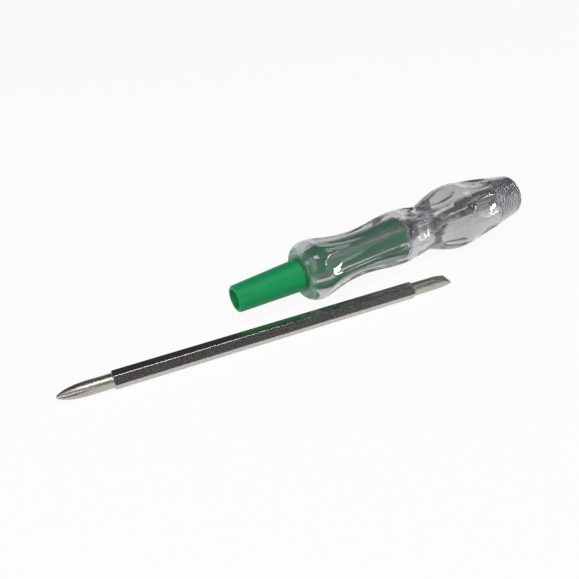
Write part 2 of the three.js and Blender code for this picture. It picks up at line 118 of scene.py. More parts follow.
half_paper = paper_size / 2
square = [(-1, -1), (1, -1), (1, 1), (-1, 1)]
table_points = [(x * half_paper, y * half_paper, under_all) for x, y in square]
table_mesh = bpy.data.meshes.new("paper_table")
table_mesh.from_pydata(table_points, [], [(0, 1, 2, 3)])
table = bpy.data.objects.new("paper_table", table_mesh)
table.data.materials.append(paper)
bpy.context.scene.collection.objects.link(table)


# Room and lamps: white at the horizon, dim overhead and a little lighter on the near side,
# with one bright patch low on the right. A long softbox hangs above the set, a fill stands
# on the left, and a small window and a lantern on the right.
room_white = (1, 1, 1)
room_near = (0.085, 0.085, 0.09)
room_far = (0.055, 0.055, 0.055)
near_edge, far_edge = -0.5, 0.5
white_below = math.sin(math.radians(9))
dim_above = math.sin(math.radians(15))
patch_light = (3.5, 3.5, 3.6)
patch_direction = (0.70, -0.70, 0.14)
patch_outside, patch_inside = 0.96, 0.99


def mixed(tree, share, first, second):
    """A colour between two others, each of them plain or from a node."""
    first, second = (
        (*colour, 1) if isinstance(colour, tuple) else colour for colour in (first, second)
    )
    inputs = {"Factor": share, 6: first, 7: second}
    return shader_node(tree, "ShaderNodeMix", inputs, 2, data_type="RGBA")


def ranged(tree, value, low, high, new_low=0.0, new_high=1.0, fade="LINEAR"):
    """A value carried over from one range to another, and kept within it."""
    inputs = {
        "Value": value, "From Min": low, "From Max": high, "To Min": new_low, "To Max": new_high
    }
    return shader_node(tree, "ShaderNodeMapRange", inputs, interpolation_type=fade)


room = bpy.data.worlds.new("room")
bpy.context.scene.world = room
room.use_nodes = True
room_tree = room.node_tree
direction = shader_node(room_tree, "ShaderNodeTexCoord", {}, "Generated")
room_height = shader_node(room_tree, "ShaderNodeSeparateXYZ", {0: direction}, "Z")
room_depth = shader_node(room_tree, "ShaderNodeSeparateXYZ", {0: direction}, "Y")
towards_patch = shader_node(
    room_tree, "ShaderNodeVectorMath", {0: direction, 1: patch_direction}, "Value",
    operation="DOT_PRODUCT",
)
far_share = ranged(room_tree, room_depth, near_edge, far_edge)
patch_share = ranged(room_tree, towards_patch, patch_outside, patch_inside, fade="SMOOTHSTEP")
dim_share = ranged(room_tree, room_height, white_below, dim_above, fade="SMOOTHSTEP")
overhead = mixed(room_tree, far_share, room_near, room_far)
overhead = mixed(room_tree, patch_share, overhead, patch_light)
room_colour = mixed(room_tree, dim_share, room_white, overhead)
room_tree.links.new(room_colour, room_tree.nodes["Background"].inputs["Color"])

# each lamp's place, its width and height in metres, and its power
for lamp_name, place, size, power in (
    ("softbox", (-0.055, -0.30, 0.98), (0.58, 0.24), 3.6),
    ("fill", (-0.75, -0.40, 0.62), (0.8, 0.8), 5.0),
    ("window", (0.839, -0.465, 0.284), (0.13, 0.06), 0.9),
    ("lantern", (0.73, 0.03, 0.72), (0.3, 0.2), 0.5),
):
    lamp = bpy.data.objects.new(lamp_name, bpy.data.lights.new(lamp_name, "AREA"))
    lamp.data.shape = "RECTANGLE"
    lamp.data.size, lamp.data.size_y = size
    lamp.data.energy = power
    lamp.location = place
    lamp.rotation_euler = (-Vector(place)).to_track_quat("-Z", "Y").to_euler()
    lamp.visible_camera = False
    bpy.context.scene.collection.objects.link(lamp)


# Blade: one hexagon bar of chrome-vanadium steel, forged to a cross point at one end, ground
# to a slotted point at the other, and plated. It lies loose beside the grip.
blade_length = 128.6
hex_across = 5.0
hex_corner = 0.35
cross_shank = 15.4
slot_shank = 14.1
hex_end = blade_length - slot_shank
shank_radius = 2.2
shoulder_length = 0.7
shoulder_radius = 2.42
shoulder_edge = 0.02
cross_outline = [
    (0, 0.3), (0.2, 0.5), (0.6, 0.76), (1.2, 1.06), (2, 1.37), (3, 1.66),
    (4.2, 1.89), (5.6, 2.06), (7.2, 2.16), (9.4, 2.2), (15.4, 2.2),
]
slot_thickness = 0.8
slot_flat_length = 7.0

mounts = {mount["name"]: mount for mount in frame["record"]["mounts"]}
slot_edge = mounts["slot_edge"]
blade_direction = Vector(slot_edge["axis"]).normalized()
blade_start = Vector(slot_edge["pos_m"]) - blade_direction * blade_length * mm
blade_swing = math.atan2(blade_direction.y, blade_direction.x)
blade_place = (
    Matrix.Translation(blade_start) @ Matrix.Rotation(blade_swing, 4, "Z") @ Matrix.Scale(mm, 4)
)


def note_own_places(mesh, place):
    """Keeps each point's place in the piece's own millimetres, for its materials."""
    to_own = place.inverted()
    own_places = [value for vertex in mesh.vertices for value in to_own @ vertex.co]
    mesh.attributes["own_mm"].data.foreach_set("vector", own_places)


def skin(name, rings, place, closed=False, sharp_angle=35):
    """A skin over rings of equally many points, each ring turning from +Y to +Z about +X.
    Closed joins the last ring to the first; otherwise both end rings are filled."""
    columns = len(rings[0])
    points = [point for ring in rings for point in ring]
    faces = []
    for ring in range(len(rings) if closed else len(rings) - 1):
        near = ring * columns
        far = (ring + 1) % len(rings) * columns
        for column in range(columns):
            after = (column + 1) % columns
            faces.append((near + column, near + after, far + after, far + column))
    if not closed:
        faces.append(tuple(reversed(range(columns))))
        faces.append(tuple(range(len(points) - columns, len(points))))
    mesh = bpy.data.meshes.new(name)
    mesh.from_pydata(points, [], faces)
    mesh.attributes.new("own_mm", "FLOAT_VECTOR", "POINT")
    mesh.transform(place)
    note_own_places(mesh, place)
    mesh.shade_smooth()
    mesh.set_sharp_from_angle(angle=math.radians(sharp_angle))
    piece = bpy.data.objects.new(name, mesh)
    bpy.context.scene.collection.objects.link(piece)
    return piece


def ring_at(x, radius_at, angles):
    """One ring of points at x, its radius a function of the angle."""
    ring = []
    for angle in angles:
        radius = radius_at(angle)
        ring.append((x, radius * math.cos(angle), radius * math.sin(angle)))
    return ring


def steps(start, end, spacing):
    """Even places from start up to, but not with, end."""
    count = max(1, math.ceil(abs(end - start) / spacing))
    return [start + (end - start) * step / count for step in range(count)]


def hexagon_radius(angle, across, corner):
    """Distance from the axis to a hexagon with rounded corners, its first corner at angle 0."""
    half = across / 2
    corner_centre = (half - corner) / math.cos(math.pi / 6)
    from_flat = abs((angle % (math.pi / 3)) - math.pi / 6)
    if from_flat <= math.atan2(corner_centre / 2, half):
        return half / math.cos(from_flat)
    from_corner = math.pi / 6 - from_flat
    across_arc = corner_centre * math.sin(from_corner)
    return corner_centre * math.cos(from_corner) + math.sqrt(corner**2 - across_arc**2)


def along_outline(outline, x, level_start=False):
    """Radius at x on a smooth curve through an outline's (x, radius) points. A level start
    leaves the first point along the axis."""
    index = 0
    while index < len(outline) - 2 and x > outline[index + 1][0]:
        index += 1
    slopes = []
    for middle in (index, index + 1):
        before = outline[max(middle - 1, 0)]
        after = outline[min(middle + 1, len(outline) - 1)]
        slopes.append((after[1] - before[1]) / (after[0] - before[0]))
    if level_start and index == 0:
        slopes[0] = 0.0
    (start, start_radius), (end, end_radius) = outline[index], outline[index + 1]
    span = end - start
    t = (x - start) / span
    return (
        (2 * t**3 - 3 * t**2 + 1) * start_radius
        + (t**3 - 2 * t**2 + t) * span * slopes[0]
        + (3 * t**2 - 2 * t**3) * end_radius
        + (t**3 - t**2) * span * slopes[1]
    )


def blade_radius(x, angle):
    """Distance from the blade's axis to its surface, before the flutes are cut."""
    if x < cross_shank:
        return along_outline(cross_outline, x)
    if x <= hex_end:
        from_end = min(x - cross_shank, hex_end - x)
        return min(hexagon_radius(angle, hex_across, hex_corner), shoulder_radius + from_end)
    slope = (shank_radius - slot_thickness / 2) / slot_flat_length
    flat_height = slot_thickness / 2 + slope * (blade_length - x)
    least_sine = 0.01
    return min(shank_radius, flat_height / max(abs(math.sin(angle)), least_sine))


# the bar's columns, close together round its corners, and its rings, close together where
# its outline changes
fine_angles = [math.radians(2.5 * step) for step in range(144)]
corner_angles = [
    math.radians(60 * corner + offset)
    for corner in range(6)
    for offset in (-3.6, -2.4, -1.2, 1.2, 2.4, 3.6)
]
bar_angles = sorted({angle % math.tau for angle in fine_angles + corner_angles})
cross_flute_length = 11.6
blade_stations = [
    *steps(0, cross_flute_length, spacing=0.15),
    *steps(cross_flute_length, cross_shank, spacing=2.3),
    cross_shank - shoulder_edge,
    *steps(cross_shank, cross_shank + shoulder_length, spacing=0.1),
    *steps(cross_shank + shoulder_length, hex_end - shoulder_length, spacing=20),
    *steps(hex_end - shoulder_length, hex_end, spacing=0.1),
    hex_end,
    hex_end + shoulder_edge,
    *steps(hex_end + 0.1, blade_length - slot_flat_length, spacing=2.3),
    *steps(blade_length - slot_flat_length, blade_length, spacing=0.2),
    blade_length,
]
blade_rings = [
    ring_at(x, lambda angle, x=x: blade_radius(x, angle), bar_angles) for x in blade_stations
]
blade = skin("reversible_blade", blade_rings, blade_place)


def cut(piece, cutter, place, sharp_angle=30):
    """Cuts a cutter's shape out of a piece, and takes the cutter away."""
    modifier = piece.modifiers.new("cut", "BOOLEAN")
    modifier.object = cutter
    modifier.solver = "EXACT"
    with bpy.context.temp_override(object=piece):
        bpy.ops.object.modifier_apply(modifier="cut")
    bpy.data.objects.remove(cutter)
    note_own_places(piece.data, place)
    piece.data.set_sharp_from_angle(angle=math.radians(sharp_angle))


# four V flutes with a filleted floor, which rises from the point to the shank
cross_turn = math.radians(60)
cross_core = 0.34
cross_fillet = 0.3
fillet_turns = [math.radians(turn) for turn in (44, 30, 15, 0, -15, -30, -44)]
flute_half_angle = math.radians(46)
cutter_height = 4
cutter_ends = (-1.0, cross_flute_length + 1.5)

for flute in range(4):
    flute_angle = cross_turn + flute * math.pi / 2
    outward = Vector((0, math.cos(flute_angle), math.sin(flute_angle)))
    sideways = Vector((0, -math.sin(flute_angle), math.cos(flute_angle)))
    vee_rings = []
    for x in cutter_ends:
        floor = cross_core + (shank_radius - cross_core) * x / cross_flute_length
        fillet_centre = floor + cross_fillet / math.cos(fillet_turns[0])
        half_width = (cutter_height - floor) * math.tan(flute_half_angle)
        along = Vector((x, 0, 0))
        ring = []
        for lean in fillet_turns:
            rise = fillet_centre - cross_fillet * math.cos(lean)
            ring.append(along + outward * rise + sideways * cross_fillet * math.sin(lean))
        for side in (-1, 1):
            ring.append(along + outward * cutter_height + sideways * half_width * side)
        vee_rings.append([tuple(point) for point in ring])
    cut(blade, skin("vee_cutter", vee_rings, blade_place), blade_place)


def value_group(name, inputs):
    """An empty shader node group with named inputs, and a value as its one output."""
    group = bpy.data.node_groups.new(name, "ShaderNodeTree")
    for label, kind, value in inputs:
        socket = group.interface.new_socket(label, in_out="INPUT", socket_type=kind)
        socket.default_value = value
    group.interface.new_socket("Value", in_out="OUTPUT", socket_type="NodeSocketFloat")
    entry = group.nodes.new("NodeGroupInput")
    leave = group.nodes.new("NodeGroupOutput")
    return group, entry.outputs, leave.inputs["Value"]


def own_place(tree):
    """Where a point lies in its piece's own millimetres, as note_own_places kept it."""
    return shader_node(tree, "ShaderNodeAttribute", {}, "Vector", attribute_name="own_mm")


# Grain: a noise drawn out along the piece, as drawing, grinding and moulding leave it. Nearly
# all of the noise lies between its low and its high end.
noise_low, noise_high = 0.3, 0.7
noise_detail = 4
grain_group, grain_given, grain_value = value_group(
    "grain along the piece",
    [
        ("Grains per mm", "NodeSocketVector", (0.05, 4, 4)),
        ("Low", "NodeSocketFloat", 0.0),
        ("High", "NodeSocketFloat", 1.0),
    ],
)
grain_place = shader_node(
    grain_group, "ShaderNodeVectorMath",
    {0: own_place(grain_group), 1: grain_given["Grains per mm"]}, operation="MULTIPLY",
)
noise = shader_node(
    grain_group, "ShaderNodeTexNoise",
    {"Vector": grain_place, "Scale": 1, "Detail": noise_detail}, "Fac",
)
spread_noise = ranged(
    grain_group, noise, noise_low, noise_high, grain_given["Low"], grain_given["High"]
)
grain_group.links.new(spread_noise, grain_value)

# Distance from the piece's own axis, in millimetres.
radius_group, _, radius_value = value_group("own radius", [])
off_axis = shader_node(
    radius_group, "ShaderNodeVectorMath",
    {0: own_place(radius_group), 1: (0, 1, 1)}, operation="MULTIPLY",
)
axis_distance = shader_node(
    radius_group, "ShaderNodeVectorMath", {0: off_axis}, "Value", operation="LENGTH"
)
radius_group.links.new(axis_distance, radius_value)


def finish(name, colour, **sockets):
    """A material with one Principled shader and its plain values."""
    material = bpy.data.materials.new(name)
    material.use_nodes = True
    shader = material.node_tree.nodes["Principled BSDF"]
    shader.inputs["Base Color"].default_value = (*colour, 1)
    for socket, value in sockets.items():
        shader.inputs[socket.replace("_", " ")].default_value = value
    return material


def feed(material, socket, source):
    """Links a node's output to one of the material's own sockets."""
    tree = material.node_tree
    tree.links.new(source, tree.nodes["Principled BSDF"].inputs[socket])


def grain(material, grains_per_mm, low=0.0, high=1.0):
    """The grain in a material, as a value between low and high."""
    inputs = {"Grains per mm": grains_per_mm, "Low": low, "High": high}
    return shader_node(material.node_tree, "ShaderNodeGroup", inputs, node_tree=grain_group)


def own_radius(material):
    """The distance from the piece's own axis, in a material."""
    return shader_node(material.node_tree, "ShaderNodeGroup", {}, node_tree=radius_group)


def add_tones(material, share, light, dark):
    """Colours the material with two tones, dark where the share is 1."""
    feed(material, "Base Color", mixed(material.node_tree, share, light, dark))


def add_relief(material, height, value):
    """Raises the surface by a height in millimetres where the value is 1."""
    inputs = {"Distance": height * mm, "Height": value}
    feed(material, "Normal", shader_node(material.node_tree, "ShaderNodeBump", inputs, "Normal"))


def fit(piece, material, body, node):
    """Gives a piece its material, and hangs it in the frame in its node's place."""
    piece.data.materials.append(material)
    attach(piece, body)
    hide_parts(node)


# the turned shanks are a little rougher than the drawn bar
shank_roughness = 0.16
shank_margin = 0.05
plating = finish("plated tool steel", (0.5, 0.48, 0.45), Metallic=1.0)
plating_tree = plating.node_tree
add_tones(plating, grain(plating, (2.5, 3.5, 3.5)), (0.64, 0.62, 0.58), (0.3, 0.28, 0.25))
bar_roughness = grain(plating, (2, 4, 4), 0.12, 0.28)
added_roughness = ranged(
    plating_tree, own_radius(plating),
    shank_radius + shank_margin, shoulder_radius, shank_roughness, 0.0,
)
feed(plating, "Roughness", maths(plating_tree, "ADD", added_roughness, bar_roughness))
add_relief(plating, 0.0015, grain(plating, (0.4, 0.8, 0.8)))
fit(blade, plating, "blade", "blade")


# Sleeve: the green insulating part, moulded in one. Its tapered nose guides the blade, its
# collar is held inside the clear plastic, and the socket tube runs on behind it.
nose_length = 23.7
nose_mouth_radius = 4.45
nose_base_radius = 5.35
nose_lip = 0.8
bead_height = 0.32
bead_length = 0.7
groove_length = 0.4
groove_depth = 0.3
collar_radius = 6.4
collar_start = 24.1
collar_end = 25.0
collar_rounding = 0.3
sleeve_length = 64.9
sleeve_radius = 5.2
sleeve_chamfer = 0.4
mouth_bore_radius = 3.2
mouth_bore_depth = 23.0
mouth_bore_flare = 0.12
mouth_bore_rounding = 0.3
socket_across = 5.3

grip_end = 118.6
joints = {joint["name"]: joint for joint in frame["joints"]}
grip_direction = Vector(joints["cap_turn"]["axis"]).normalized()
grip_mouth = Vector(joints["cap_turn"]["pos_m"]) - grip_direction * grip_end * mm
grip_tilt = math.atan2(grip_direction.z, grip_direction.x)
grip_place = (
    Matrix.Translation(grip_mouth) @ Matrix.Rotation(-grip_tilt, 4, "Y") @ Matrix.Scale(mm, 4)
)


def quarter(x_centre, r_centre, x_reach, r_reach, count=6):
    """A quarter round from (x_centre + x_reach, r_centre) to (x_centre, r_centre + r_reach)."""
    turns = [math.pi / 2 * step / count for step in range(count + 1)]
    return [(x_centre + x_reach * math.cos(t), r_centre + r_reach * math.sin(t)) for t in turns]


def round_rings(profile, angles):
    """Round rings at a profile's (x, radius) points."""
    return [ring_at(x, lambda angle: radius, angles) for x, radius in profile]


def socket_radius(angle):
    """Distance from the axis to the wall of the hexagon socket."""
    return hexagon_radius(angle, socket_across, hex_corner)


groove_start = nose_length - groove_length
bead_start = groove_start - bead_length
bead_radius = nose_base_radius + bead_height
groove_radius = nose_base_radius - groove_depth
collar_edge = collar_radius - collar_rounding
sleeve_outside = [
    *quarter(nose_lip, nose_mouth_radius - nose_lip, -nose_lip, nose_lip),
    (bead_start - bead_length, nose_base_radius),
    (bead_start - bead_length / 2, nose_base_radius + bead_height / 2),
    (bead_start, bead_radius),
    (groove_start - groove_depth, bead_radius),
    (groove_start, groove_radius),
    (collar_start, groove_radius),
    *quarter(collar_start + collar_rounding, collar_edge, -collar_rounding, collar_rounding),
    (collar_end, collar_radius),
    (collar_end, sleeve_radius),
    (sleeve_length - sleeve_chamfer, sleeve_radius),
    (sleeve_length, sleeve_radius - sleeve_chamfer),
]
socket_start = mouth_bore_depth + mouth_bore_radius - socket_across / 2
mouth_bore = [
    (mouth_bore_depth, mouth_bore_radius),
    (mouth_bore_flare * 2, mouth_bore_radius),
    (mouth_bore_flare, mouth_bore_radius + mouth_bore_flare * mouth_bore_rounding),
    (0, mouth_bore_radius + mouth_bore_flare),
]
sleeve_rings = [
    *round_rings(sleeve_outside, bar_angles),
    ring_at(sleeve_length, socket_radius, bar_angles),
    ring_at(socket_start, socket_radius, bar_angles),
    *round_rings(mouth_bore, bar_angles),
]
sleeve = skin("green_sleeve", sleeve_rings, grip_place, closed=True)

green = finish("green moulded plastic", (0.006, 0.3, 0.095), IOR=1.3)
add_tones(green, grain(green, (0.12, 0.5, 0.5)), (0.006, 0.33, 0.103), (0.005, 0.28, 0.087))
feed(green, "Roughness", grain(green, (0.3, 2, 2), 0.38, 0.52))
add_relief(green, 0.03, grain(green, (2.2, 3, 3)))
fit(sleeve, green, "handle", "insulating_sleeve")


# Contact cup: pressed from nickel-plated brass. The blade's end pushes on its closed face,
# and the resistor stands in its open side.
chamber_start = 65.2
train_radius = 3.0
cup_length = 5.4
cup_floor = 1.2
cup_wall = 0.45
cup_rounding = 0.4
cup_edge = 0.1
face_middle = 0.05


def turned(name, profile, place, columns=72):
    """A piece turned about X, from a profile of (x, radius) points, with a flat end at its
    first and at its last point."""
    angles = [math.tau * column / columns for column in range(columns)]
    return skin(name, round_rings(profile, angles), place)


cup_end = chamber_start + cup_length
cup_inside = train_radius - cup_wall
cup_profile = [
    (chamber_start, face_middle),
    *quarter(chamber_start + cup_rounding, train_radius - cup_rounding,
             -cup_rounding, cup_rounding),
    (cup_end - cup_edge, train_radius),
    (cup_end, train_radius - cup_edge),
    (cup_end, cup_inside + cup_edge),
    (cup_end - cup_edge, cup_inside),
    (chamber_start + cup_floor, cup_inside),
    (chamber_start + cup_floor, face_middle),
]
cup = turned("pressed_contact_cup", cup_profile, grip_place)
# painted reflection: the plate is coloured near black for the dark surroundings that the shiny
# nickel mirrors
darkened = finish("dulled nickel plate", (0.1, 0.09, 0.08), Metallic=1.0)
add_tones(darkened, grain(darkened, (0.6, 0.6, 0.6)), (0.12, 0.11, 0.1), (0.05, 0.045, 0.04))
feed(darkened, "Roughness", grain(darkened, (4, 0.8, 0.8), 0.16, 0.35))
fit(cup, darkened, "lamp_train", "contact_cup")


# Resistor: a carbon rod with a dull tan coat, between two pressed metal caps. It holds the
# test current down to what the lamp needs.
crimp_gap = 0.15
resistor_length = 16.4
resistor_radius = 1.65
rod_edge = 0.25
rod_plain_end = 1
coat_ripple = 0.03
coat_ripples_per_radian = 9
resistor_cap_length = 2.4
resistor_cap_wall = 0.25
resistor_cap_dent = 0.08

resistor_start = chamber_start + cup_floor + crimp_gap
resistor_end = resistor_start + resistor_length
rod_inset = resistor_cap_wall + crimp_gap
rod_start = resistor_start + rod_inset
rod_end = resistor_end - rod_inset
rod_profile = [(rod_start, resistor_radius - rod_edge), (rod_start + rod_edge, resistor_radius)]
for x in steps(rod_start + rod_plain_end, rod_end - rod_plain_end, spacing=0.5):
    ripple = coat_ripple * math.sin(coat_ripples_per_radian * x)
    rod_profile.append((x, resistor_radius + ripple))
rod_profile += [(rod_end - rod_edge, resistor_radius), (rod_end, resistor_radius - rod_edge)]
rod = turned("resistor_rod", rod_profile, grip_place)
tan_coat = finish("tan resistor coat", (0.42, 0.35, 0.2))
add_tones(tan_coat, grain(tan_coat, (1.2, 1.2, 1.2)), (0.44, 0.37, 0.22), (0.34, 0.28, 0.16))
feed(tan_coat, "Roughness", grain(tan_coat, (2, 2, 2), 0.45, 0.65))
add_relief(tan_coat, 0.02, grain(tan_coat, (3, 3, 3)))
fit(rod, tan_coat, "lamp_train", "resistor_body")

nickel = finish("nickel plate", (0.5, 0.48, 0.44), Metallic=1.0)
add_tones(nickel, grain(nickel, (0.6, 0.6, 0.6)), (0.5, 0.48, 0.44), (0.42, 0.39, 0.34))
feed(nickel, "Roughness", grain(nickel, (4, 0.8, 0.8), 0.2, 0.32))
add_relief(nickel, 0.003, grain(nickel, (6, 0.6, 0.6)))
cap_inside = resistor_radius + crimp_gap
cap_outside = cap_inside + resistor_cap_wall
resistor_cap_profile = [
    (0, face_middle),
    *quarter(resistor_cap_wall, cap_outside - resistor_cap_wall,
             -resistor_cap_wall, resistor_cap_wall, count=4),
    (resistor_cap_length * 0.45, cap_outside),
    (resistor_cap_length * 0.55, cap_outside - resistor_cap_dent),
    (resistor_cap_length * 0.65, cap_outside),
    (resistor_cap_length, cap_outside),
    (resistor_cap_length, cap_inside),
    (resistor_cap_wall, cap_inside),
    (resistor_cap_wall, face_middle),
]
for cap_name, node, closed_face, turn in (
    ("front_resistor_cap", "resistor_cap_front", resistor_start, 0),
    ("rear_resistor_cap", "resistor_cap_rear", resistor_end, math.pi),
):
    cap_place = grip_place @ Matrix.Translation((closed_face, 0, 0)) @ Matrix.Rotation(turn, 4, "Z")
    resistor_cap = turned(cap_name, resistor_cap_profile, cap_place, columns=48)
    fit(resistor_cap, nickel, "lamp_train", node)


# Neon lamp: a glass bulb closed by a pressed glass stem, with two electrode rods side by side
# and two wires, one folded forward to the resistor and one bent over behind the stem.
lead_radius = 0.16
lamp_start = resistor_end + 2 * (crimp_gap + lead_radius)
lamp_length = 8.6
lamp_radius = 2.1
lamp_wall = 0.3
lamp_dome = 1.7
dome_tip = 0.04
bulb_rim_length = 0.2
bulb_rim_drop = 0.15
lamp_end = lamp_start + lamp_length
stem_length = 1.6
electrode_length = 5.0
electrode_radius = 0.32
electrode_tip = 0.03
electrode_spacing = 1.5
lead_tail = 1.0
tail_to_disc = 0.3
lead_to_disc = 0.15

bulb_inside = lamp_radius - lamp_wall
dome_centre = lamp_start + lamp_dome
bulb_profile = [
    *quarter(dome_centre, dome_tip, -lamp_dome, lamp_radius - dome_tip, count=12),
    (lamp_end - bulb_rim_length, lamp_radius),
    (lamp_end, lamp_radius - bulb_rim_drop),
    (lamp_end, bulb_inside),
    *reversed(
        quarter(dome_centre, dome_tip, lamp_wall - lamp_dome, bulb_inside - dome_tip, count=12)
    ),
]
bulb = turned("lamp_bulb", bulb_profile, grip_place, columns=48)
stem_radius = bulb_inside - crimp_gap
stem_start = lamp_end - stem_length
stem_profile = [
    (stem_start, stem_radius - 0.5),
    (stem_start + 0.25, stem_radius - 0.15),
    (stem_start + 0.6, stem_radius),
    (lamp_end - 0.1, stem_radius),
    (lamp_end, stem_radius - 0.1),
]
stem = turned("glass_stem", stem_profile, grip_place, columns=48)
glass = finish("lamp glass", (0.97, 0.95, 0.94), Roughness=0.02, IOR=1.5, Transmission_Weight=1.0)
add_relief(glass, 0.02, grain(glass, (0.5, 0.5, 0.5)))
fit(bulb, glass, "lamp_train", "lamp_glass")
fit(stem, glass, "lamp_train", "lamp_stem")

coated_wire = finish("coated electrode", (0.5, 0.16, 0.12), Metallic=0.6)
add_tones(coated_wire, grain(coated_wire, (2, 2, 2)), (0.55, 0.18, 0.13), (0.3, 0.1, 0.08))
feed(coated_wire, "Roughness", grain(coated_wire, (3, 3, 3), 0.35, 0.55))
electrode_end = stem_start - crimp_gap
electrode_start = electrode_end - electrode_length
electrode_profile = [
    *quarter(electrode_start + electrode_radius, electrode_tip,
             -electrode_radius, electrode_radius - electrode_tip),
    (electrode_end, electrode_radius),
]
for electrode_name, node, side in (
    ("left_electrode", "lamp_electrode_left", 1),
    ("right_electrode", "lamp_electrode_right", -1),
):
    aside = grip_place @ Matrix.Translation((0, side * electrode_spacing / 2, 0))
    electrode = turned(electrode_name, electrode_profile, aside, columns=24)
    fit(electrode, coated_wire, "lamp_train", node)


def smooth_path(points, per_span=8):
    """Points on a smooth curve through the given ones."""
    points = [Vector(point) for point in points]
    ends = [2 * points[0] - points[1], *points, 2 * points[-1] - points[-2]]
    path = []
    for index in range(len(points) - 1):
        before, start, end, after = ends[index:index + 4]
        for step in range(per_span):
            t = step / per_span
            path.append(
                0.5 * (2 * start + (end - before) * t
                       + (2 * before - 5 * start + 4 * end - after) * t**2
                       + (3 * start - before - 3 * end + after) * t**3)
            )
    return [*path, points[-1]]


def wire(name, path, radius, place, sides=12):
    """A round wire along a path, its section turned as little as possible."""
    rings = []
    across = None
    for index, point in enumerate(path):
        before = path[max(index - 1, 0)]
        after = path[min(index + 1, len(path) - 1)]
        along = (after - before).normalized()
        if across is None:
            across = along.orthogonal()
        across = (across - along * across.dot(along)).normalized()
        third = along.cross(across)
        ring = []
        for side in range(sides):
            angle = math.tau * side / sides
            sideways = across * radius * math.cos(angle)
            upward = third * radius * math.sin(angle)
            ring.append(tuple(point + sideways + upward))
        rings.append(ring)
    return skin(name, rings, place, sharp_angle=60)


lead_inner = electrode_spacing / 2
lead_beside = lamp_radius + crimp_gap + lead_radius
lead_ahead = lamp_start - crimp_gap - lead_radius
lead_start = lamp_end + crimp_gap
lead_bend = lead_tail / 2
disc_start = lamp_end + lead_tail + tail_to_disc
lead_rear = disc_start - lead_to_disc - lead_radius
front_lead_path = smooth_path([
    (lead_start, lead_inner, 0),
    (lead_start + lead_bend / 2, lead_inner + lead_bend / 4, 0),
    (lead_start + lead_bend / 2, lead_beside - lead_bend / 2, 0),
    (lamp_end - lead_bend, lead_beside, 0),
    (dome_centre, lead_beside, 0),
    (lead_ahead + lead_bend / 2, lamp_radius - lead_bend / 4, 0),
    (lead_ahead, lamp_radius / 2, 0),
    (lead_ahead, 0, 0),
])
rear_lead_path = smooth_path([
    (lead_start, -lead_inner, 0),
    ((lead_start + lead_rear) / 2, -lead_inner, 0),
    (lead_rear, -lead_inner / 3, 0),
    (lead_rear, lead_inner, 0),
])
tinned = finish("tinned wire", (0.6, 0.58, 0.55), Metallic=1.0)
add_tones(tinned, grain(tinned, (1, 1, 1)), (0.62, 0.6, 0.57), (0.5, 0.48, 0.45))
feed(tinned, "Roughness", grain(tinned, (2, 2, 2), 0.25, 0.45))
front_lead = wire("front_lead", front_lead_path, lead_radius, grip_place)
rear_lead = wire("rear_lead", rear_lead_path, lead_radius, grip_place)
fit(front_lead, tinned, "lamp_train", "lamp_lead_front")
fit(rear_lead, tinned, "lamp_train", "lamp_lead_rear")


# Pressure disc: turned brass between the lamp and the spring, with a boss that keeps the
# spring in the middle.
disc_thickness = 0.8
disc_edge = 0.12
disc_boss_radius = 1.4
disc_boss_length = 1.0
disc_boss_edge = 0.2

disc_end = disc_start + disc_thickness
boss_end = disc_end + disc_boss_length
disc_profile = [
    (disc_start, train_radius - disc_edge),
    (disc_start + disc_edge, train_radius),
    (disc_end - disc_edge, train_radius),
    (disc_end, train_radius - disc_edge),
    (disc_end, disc_boss_radius),
    (boss_end - disc_boss_edge, disc_boss_radius),
    (boss_end, disc_boss_radius - disc_boss_edge),
]
disc = turned("brass_pressure_disc", disc_profile, grip_place)
brass = finish("turned brass", (0.55, 0.38, 0.16), Metallic=1.0)
add_tones(brass, grain(brass, (1, 1, 1)), (0.58, 0.4, 0.17), (0.4, 0.27, 0.12))
feed(brass, "Roughness", grain(brass, (5, 1, 1), 0.2, 0.38))
fit(disc, brass, "lamp_train", "pressure_disc")


# Spring: drawn steel wire, wound as one helix with closed ends. It presses the whole train
# forward against the blade, and its rear end sits in the end cap.
disc_to_spring = 0.3
spring_start = disc_end + disc_to_spring
spring_end = 109.9
spring_radius = 1.95
spring_wire_radius = 0.225
spring_turns = 11
closed_turns = 1.25
closed_rise = 2.2 * spring_wire_radius
points_per_turn = 24


def spring_travel(turn):
    """How far along the spring a turn of its wire has come: close at both ends, open between."""
    open_turns = spring_turns - 2 * closed_turns
    length = spring_end - spring_start - 2 * spring_wire_radius
    open_rise = (length - 2 * closed_turns * closed_rise) / open_turns
    before = min(turn, closed_turns) * closed_rise
    middle = min(max(turn - closed_turns, 0), open_turns) * open_rise
    last = max(turn - closed_turns - open_turns, 0) * closed_rise
    return spring_start + spring_wire_radius + before + middle + last


spring_path = []
for step in range(spring_turns * points_per_turn + 1):
    turn = step / points_per_turn
    angle = math.tau * turn
    across = (spring_radius * math.cos(angle), spring_radius * math.sin(angle))
    spring_path.append(Vector((spring_travel(turn), *across)))
spring = wire("coil_spring", spring_path, spring_wire_radius, grip_place)
spring_steel = finish("spring steel", (0.25, 0.25, 0.25), Metallic=1.0)
add_tones(spring_steel, grain(spring_steel, (0.8, 0.8, 0.8)), (0.1, 0.1, 0.1), (0.05, 0.05, 0.05))
feed(spring_steel, "Roughness", grain(spring_steel, (3, 3, 3), 0.18, 0.35))
fit(spring, spring_steel, "spring", "pressure_spring")
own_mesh(spring)


